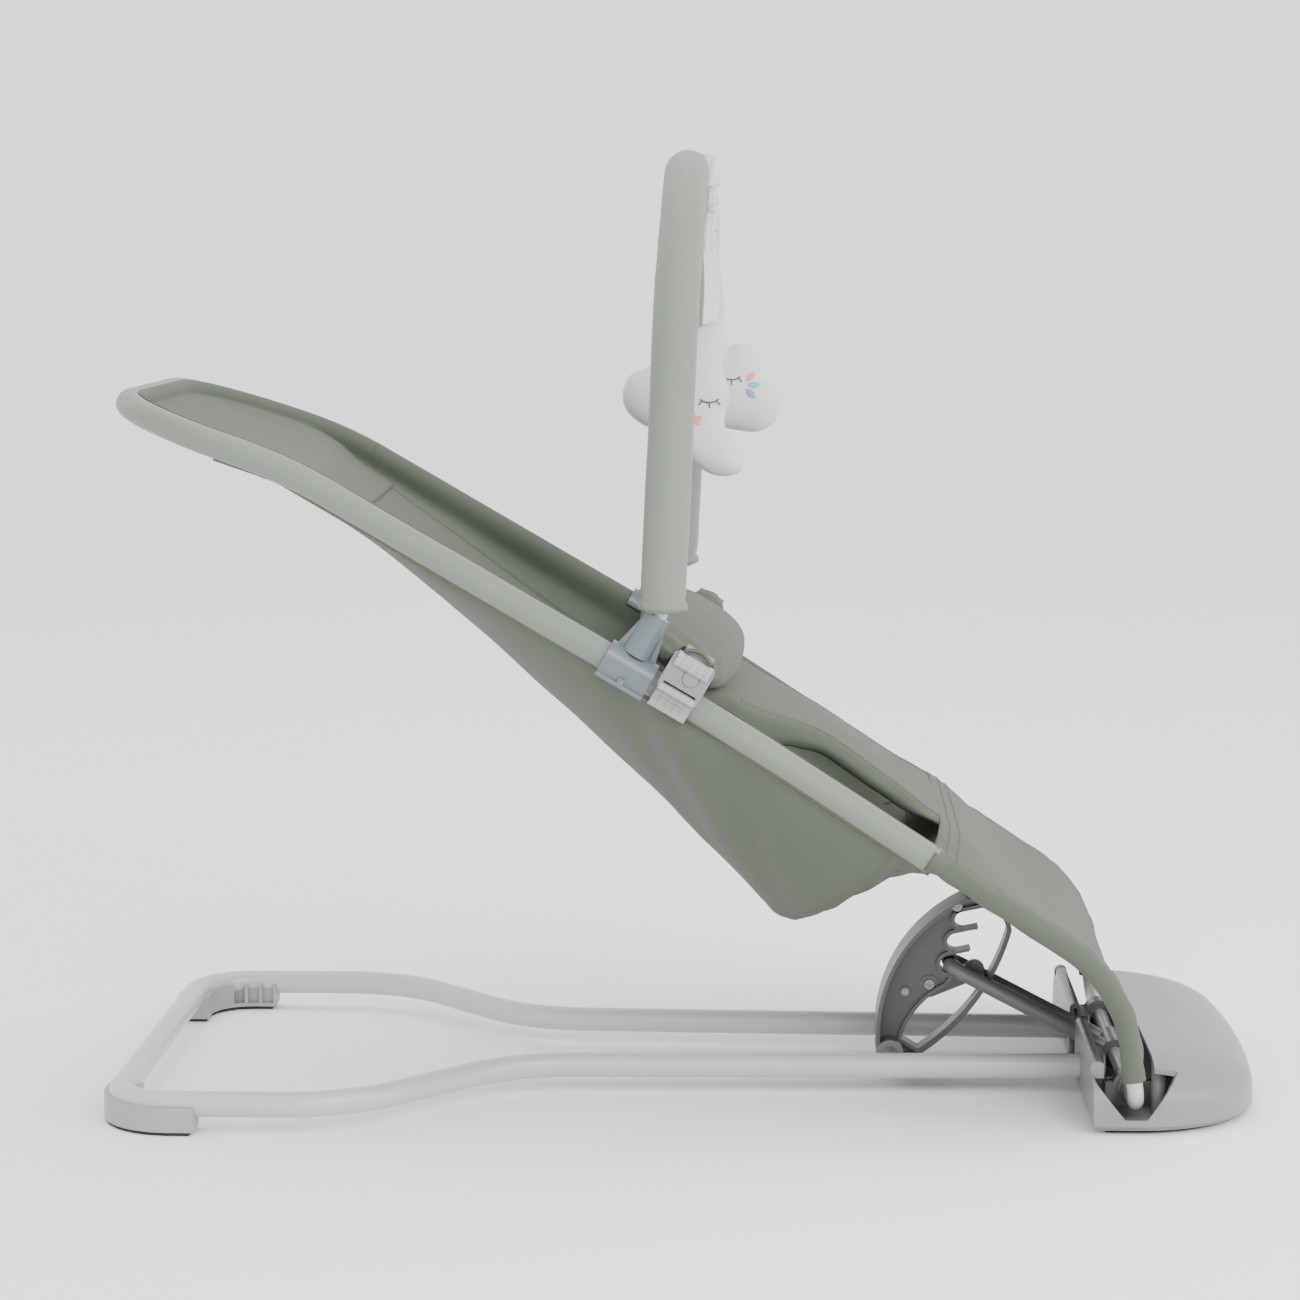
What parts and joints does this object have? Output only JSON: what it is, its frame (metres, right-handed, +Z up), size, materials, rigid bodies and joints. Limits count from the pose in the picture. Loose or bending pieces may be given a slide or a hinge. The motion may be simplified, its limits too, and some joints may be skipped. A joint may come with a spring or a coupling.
{
  "type": "baby bouncer seat",
  "caption": "Folding baby bouncer: hooped seat frame with hanging cloth seat and harness, recline strut with notches, looped floor frame, weighted front base and arched toy bar.",
  "frame": {"origin": "on the floor, in the middle of the footprint", "axes": "+X points to the baby's feet and the front base, +Y to the baby's left, +Z up"},
  "size_m": [0.8615, 0.436, 0.716],
  "materials": {
    "frame_paint": "satin powder coat, pale blue-grey",
    "dark_steel": "satin, dark grey",
    "steel": "brushed zinc-plated steel",
    "base_plastic": "fine moulded grain, mid grey",
    "pale_plastic": "fine moulded grain, light grey",
    "strut_plastic": "fine moulded grain, mid grey",
    "clamp_plastic": "satin, blue-grey",
    "buckle_plastic": "satin, grey",
    "bearing_plastic": "natural acetal",
    "rubber": "matt black",
    "sage_fabric": "tight plain weave, sage green",
    "sleeve_fabric": "smooth tight sleeve, pale sage",
    "webbing": "ribbed woven webbing, light grey",
    "ribbon": "white satin ribbon",
    "plush": "soft white plush"
  },
  "bodies": {
    "base": {"base_frame_tube": "frame_paint", "strut_cross_tube": "dark_steel", "rear_foot_right": "pale_plastic", "rear_foot_left": "pale_plastic", "rear_foot_pad_right": "rubber", "rear_foot_pad_left": "rubber", "base_top_cover": "base_plastic", "hinge_cover_right": "base_plastic", "hinge_cover_left": "base_plastic", "base_bottom_plate": "base_plastic", "base_sole_pad": "rubber", "base_screws": "steel", "tube_clamp_right": "base_plastic", "tube_clamp_left": "base_plastic", "axle_saddle_right": "base_plastic", "axle_saddle_left": "base_plastic", "axle_cap_right": "base_plastic", "axle_cap_left": "base_plastic", "axle_cap_screws": "steel"},
    "axle": {"axle_bushes": "bearing_plastic"},
    "seat": {"seat_tube_upper": "frame_paint", "seat_tube_lower": "frame_paint", "tube_connector_right": "pale_plastic", "tube_connector_left": "pale_plastic", "recline_bail": "dark_steel", "seat_tube_sleeve": "sleeve_fabric", "leg_sleeve_right": "sage_fabric", "leg_sleeve_left": "sage_fabric", "seat_sling": "sage_fabric", "head_cloth": "sage_fabric", "leg_panel": "sage_fabric", "harness_flap": "sage_fabric", "buckle_body_right": "buckle_plastic", "buckle_body_left": "buckle_plastic", "buckle_webbing_right": "webbing", "buckle_webbing_left": "webbing"},
    "tongue_right": {"buckle_tongue_right": "buckle_plastic", "harness_wing_right": "sage_fabric"},
    "tongue_left": {"buckle_tongue_left": "buckle_plastic", "harness_wing_left": "sage_fabric"},
    "button_right": {"buckle_button_right": "buckle_plastic"},
    "button_left": {"buckle_button_left": "buckle_plastic"},
    "strut_sleeve": {"strut_pivot_sleeve": "bearing_plastic"},
    "strut": {"strut_shell_right": "strut_plastic", "strut_shell_left": "strut_plastic", "strut_screws": "steel", "strut_rivet": "steel"},
    "fold_lock": {"fold_lock_lever": "strut_plastic"},
    "toy_bar": {"toy_clamp_right": "clamp_plastic", "toy_clamp_left": "clamp_plastic", "toy_bar_tube": "frame_paint", "toy_bar_sleeve": "sage_fabric", "toy_ribbon_tabs": "ribbon"},
    "cloud": {"toy_cloud": "plush", "cloud_ribbon": "ribbon"},
    "moon": {"toy_moon": "plush", "moon_ribbon": "ribbon"}
  },
  "joints": [
    {"name": "seat_fold", "type": "hinge", "parent": "base", "child": "axle", "pos_m": [0.331, 0, 0.02], "axis": [0, 1, 0], "range_deg": [-30, 0], "deforming": ["seat_sling"]},
    {"name": "seat_recline", "type": "hinge", "parent": "axle", "child": "seat", "pos_m": [0.331, 0, 0.02], "axis": [0, 1, 0], "range_deg": [0, 14]},
    {"name": "strut_fold", "type": "hinge", "parent": "base", "child": "strut_sleeve", "pos_m": [0.156, 0, 0.0186], "axis": [0, 1, 0], "range_deg": [0, 52.5]},
    {"name": "strut_swing", "type": "hinge", "parent": "strut_sleeve", "child": "strut", "pos_m": [0.156, 0, 0.0186], "axis": [0, 1, 0], "range_deg": [0, 5.18]},
    {"name": "fold_lock_swing", "type": "hinge", "parent": "strut", "child": "fold_lock", "pos_m": [0.1868, 0, 0.07], "axis": [0, 1, 0], "range_deg": [0, 20], "stiffness_Nm_per_rad": 0.05, "springref_deg": -11.46},
    {"name": "toy_bar_lift", "type": "slide", "parent": "seat", "child": "toy_bar", "axis": [0.5025, 0, 0.8646], "range_m": [0, 0.06]},
    {"name": "cloud_swing", "type": "hinge", "parent": "toy_bar", "child": "cloud", "pos_m": [0.0159, 0.08, 0.67265], "axis": [0, 1, 0], "range_deg": [-30, 30]},
    {"name": "moon_swing", "type": "hinge", "parent": "toy_bar", "child": "moon", "pos_m": [0.0159, -0.038, 0.6865], "axis": [0, 1, 0], "range_deg": [-30, 30]},
    {"name": "tongue_right_pull", "type": "slide", "parent": "seat", "child": "tongue_right", "axis": [0.5025, 0, 0.8646], "range_m": [0, 0.012]},
    {"name": "tongue_left_pull", "type": "slide", "parent": "seat", "child": "tongue_left", "axis": [0.5025, 0, 0.8646], "range_m": [0, 0.012]},
    {"name": "button_right_press", "type": "slide", "parent": "seat", "child": "button_right", "axis": [0, 1, 0], "range_m": [0, 0.0025], "stiffness_N_per_m": 1200},
    {"name": "button_left_press", "type": "slide", "parent": "seat", "child": "button_left", "axis": [0, -1, 0], "range_m": [0, 0.0025], "stiffness_N_per_m": 1200}
  ],
  "couplings": [
    {"joint": "strut_fold", "follows": "seat_fold", "ratio": -1.75},
    {"joint": "strut_swing", "follows": "seat_recline", "ratio": 0.37}
  ]
}
